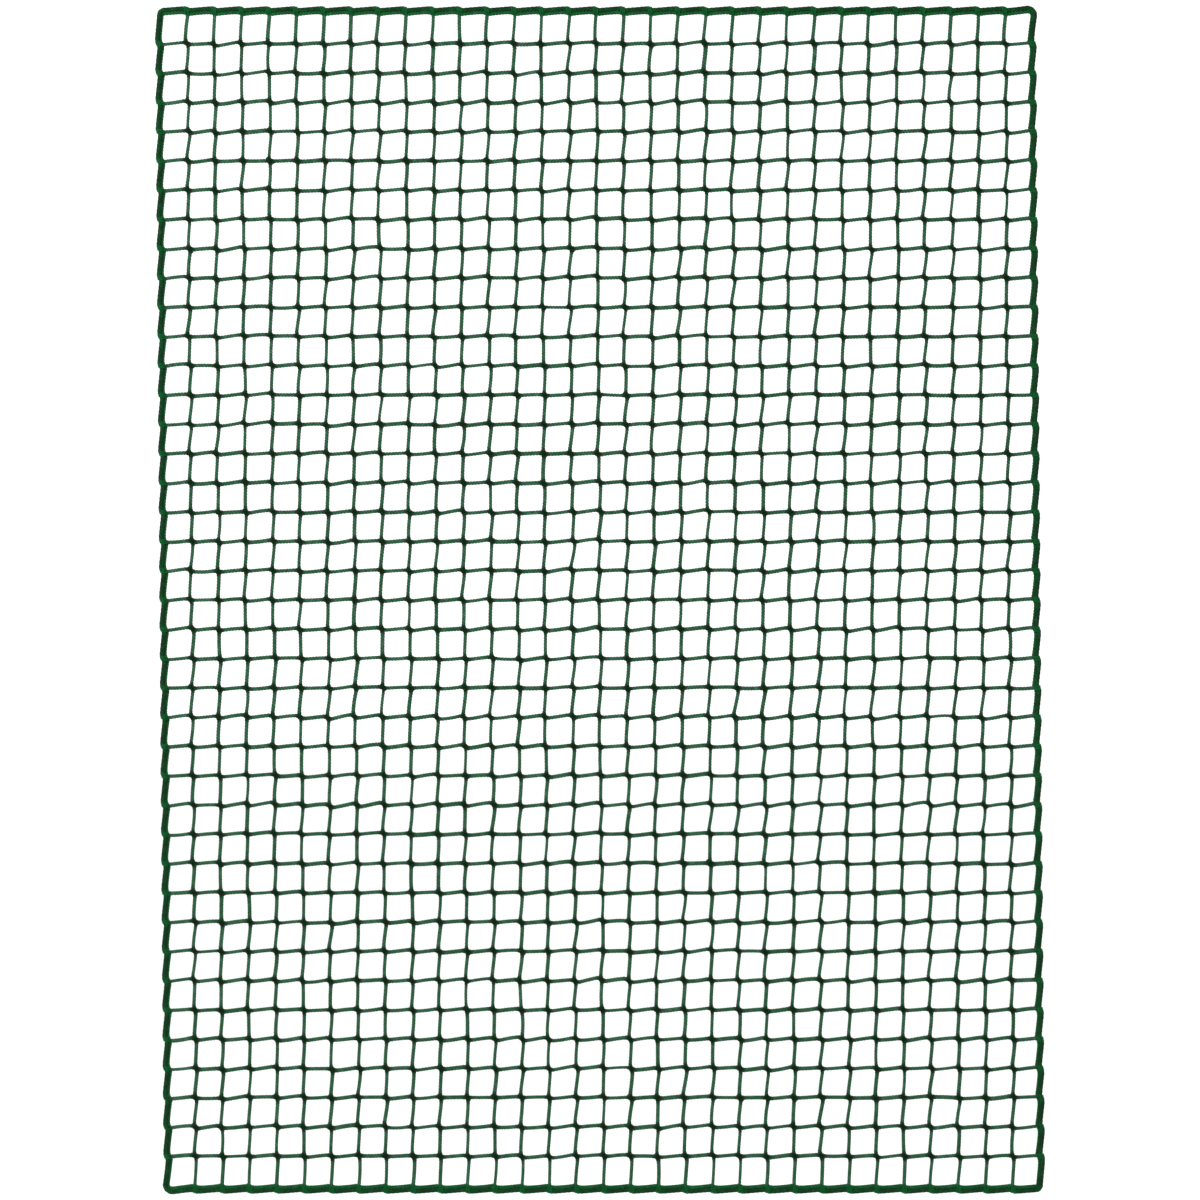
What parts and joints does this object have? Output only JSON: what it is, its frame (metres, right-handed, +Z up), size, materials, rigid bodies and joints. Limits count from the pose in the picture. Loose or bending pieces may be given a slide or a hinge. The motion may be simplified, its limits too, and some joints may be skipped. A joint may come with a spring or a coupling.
{
  "type": "cargo climbing net",
  "caption": "Hanging rectangular net of square knotless meshes, laced to a border rope all round; it folds in bands about its weft twines.",
  "frame": {"origin": "middle of the top border rope, by which the net hangs", "axes": "+X to the right seen from the front, -Y towards the viewer, +Z up"},
  "size_m": [1.5055, 0.0098, 2.0104],
  "materials": {
    "netting_twine": "dark green knitted polypropylene twine, satin, with the stitches of the knit showing",
    "edge_twine": "the netting's own dark green edge twine",
    "border_rope": "braided dark green polypropylene rope, satin",
    "lacing": "green polypropylene lacing, a shade brighter than the rope"
  },
  "bodies": {
    "band_1": {"warp_twines_1": "netting_twine", "weft_twines_1": "netting_twine", "knit_joints_1": "netting_twine", "side_ropes_1": "border_rope", "edge_twines_1": "edge_twine", "edge_loops_1": "lacing", "top_rope": "border_rope", "top_corners": "border_rope", "top_edge_twine": "edge_twine", "top_edge_loops": "lacing"},
    "band_2": {"warp_twines_2": "netting_twine", "weft_twines_2": "netting_twine", "knit_joints_2": "netting_twine", "side_ropes_2": "border_rope", "edge_twines_2": "edge_twine", "edge_loops_2": "lacing"},
    "band_3": {"warp_twines_3": "netting_twine", "weft_twines_3": "netting_twine", "knit_joints_3": "netting_twine", "side_ropes_3": "border_rope", "edge_twines_3": "edge_twine", "edge_loops_3": "lacing"},
    "band_4": {"warp_twines_4": "netting_twine", "weft_twines_4": "netting_twine", "knit_joints_4": "netting_twine", "side_ropes_4": "border_rope", "edge_twines_4": "edge_twine", "edge_loops_4": "lacing"},
    "band_5": {"warp_twines_5": "netting_twine", "weft_twines_5": "netting_twine", "knit_joints_5": "netting_twine", "side_ropes_5": "border_rope", "edge_twines_5": "edge_twine", "edge_loops_5": "lacing"},
    "band_6": {"warp_twines_6": "netting_twine", "weft_twines_6": "netting_twine", "knit_joints_6": "netting_twine", "side_ropes_6": "border_rope", "edge_twines_6": "edge_twine", "edge_loops_6": "lacing"},
    "band_7": {"warp_twines_7": "netting_twine", "weft_twines_7": "netting_twine", "knit_joints_7": "netting_twine", "side_ropes_7": "border_rope", "edge_twines_7": "edge_twine", "edge_loops_7": "lacing"},
    "band_8": {"warp_twines_8": "netting_twine", "weft_twines_8": "netting_twine", "knit_joints_8": "netting_twine", "side_ropes_8": "border_rope", "edge_twines_8": "edge_twine", "edge_loops_8": "lacing", "bottom_rope": "border_rope", "bottom_corners": "border_rope", "bottom_edge_twine": "edge_twine", "bottom_edge_loops": "lacing"}
  },
  "joints": [
    {"name": "fold_1", "type": "hinge", "parent": "band_1", "child": "band_2", "pos_m": [0.00191, 0, -0.25653], "axis": [1, 0, 0], "range_deg": [-120, 120]},
    {"name": "fold_2", "type": "hinge", "parent": "band_2", "child": "band_3", "pos_m": [0.00376, 0, -0.50445], "axis": [-1, 0, 0], "range_deg": [-120, 120]},
    {"name": "fold_3", "type": "hinge", "parent": "band_3", "child": "band_4", "pos_m": [0.0056, 0, -0.75238], "axis": [1, 0, 0], "range_deg": [-120, 120]},
    {"name": "fold_4", "type": "hinge", "parent": "band_4", "child": "band_5", "pos_m": [0.00745, 0, -1.0003], "axis": [-1, 0, 0], "range_deg": [-120, 120]},
    {"name": "fold_5", "type": "hinge", "parent": "band_5", "child": "band_6", "pos_m": [0.0093, 0, -1.24822], "axis": [1, 0, 0], "range_deg": [-120, 120]},
    {"name": "fold_6", "type": "hinge", "parent": "band_6", "child": "band_7", "pos_m": [0.01114, 0, -1.49615], "axis": [-1, 0, 0], "range_deg": [-120, 120]},
    {"name": "fold_7", "type": "hinge", "parent": "band_7", "child": "band_8", "pos_m": [0.01299, 0, -1.74408], "axis": [1, 0, 0], "range_deg": [-120, 120]}
  ]
}
